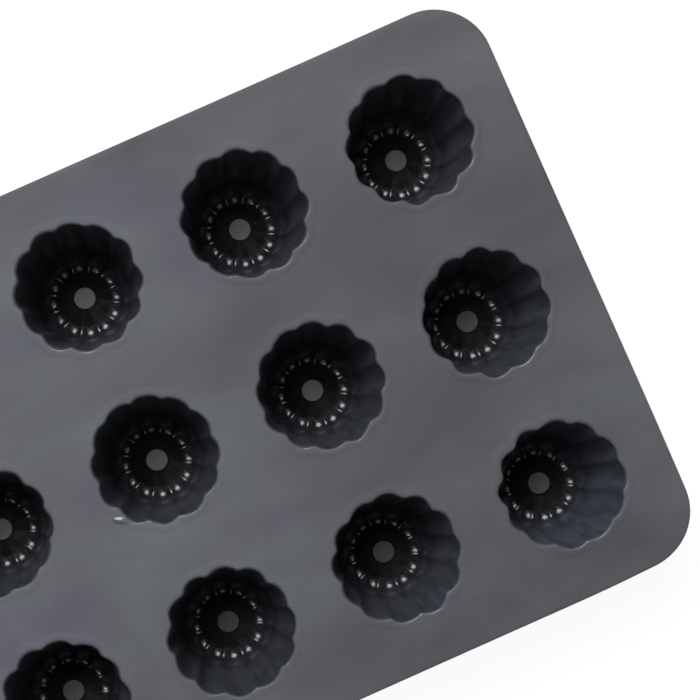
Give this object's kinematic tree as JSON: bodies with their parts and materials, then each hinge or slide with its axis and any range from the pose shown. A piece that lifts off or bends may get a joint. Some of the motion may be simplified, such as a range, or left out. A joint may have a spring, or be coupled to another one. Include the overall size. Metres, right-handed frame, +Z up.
{
  "type": "silicone mini canele mould",
  "caption": "Flexible baking mould: a flat rounded sheet with a grid of deep, tapered, fluted cups hanging below it, each open at the top.",
  "frame": {"origin": "centre of the footprint, on the surface that the mould stands on, under the middle cup", "axes": "+X along the sheet's length, +Y across its width, +Z up out of the cups' mouths"},
  "size_m": [0.28, 0.179, 0.036],
  "materials": {
    "matt_silicone": "matt dark grey silicone, faintly mottled",
    "cup_silicone": "dark grey silicone, polished inside the cup and matt outside"
  },
  "bodies": {
    "root": {"sheet": "matt_silicone", "cup_a1": "cup_silicone", "cup_a2": "cup_silicone", "cup_a3": "cup_silicone", "cup_a4": "cup_silicone", "cup_a5": "cup_silicone", "cup_b1": "cup_silicone", "cup_b2": "cup_silicone", "cup_b3": "cup_silicone", "cup_b4": "cup_silicone", "cup_b5": "cup_silicone", "cup_c1": "cup_silicone", "cup_c2": "cup_silicone", "cup_c3": "cup_silicone", "cup_c4": "cup_silicone", "cup_c5": "cup_silicone"}
  },
  "joints": []
}
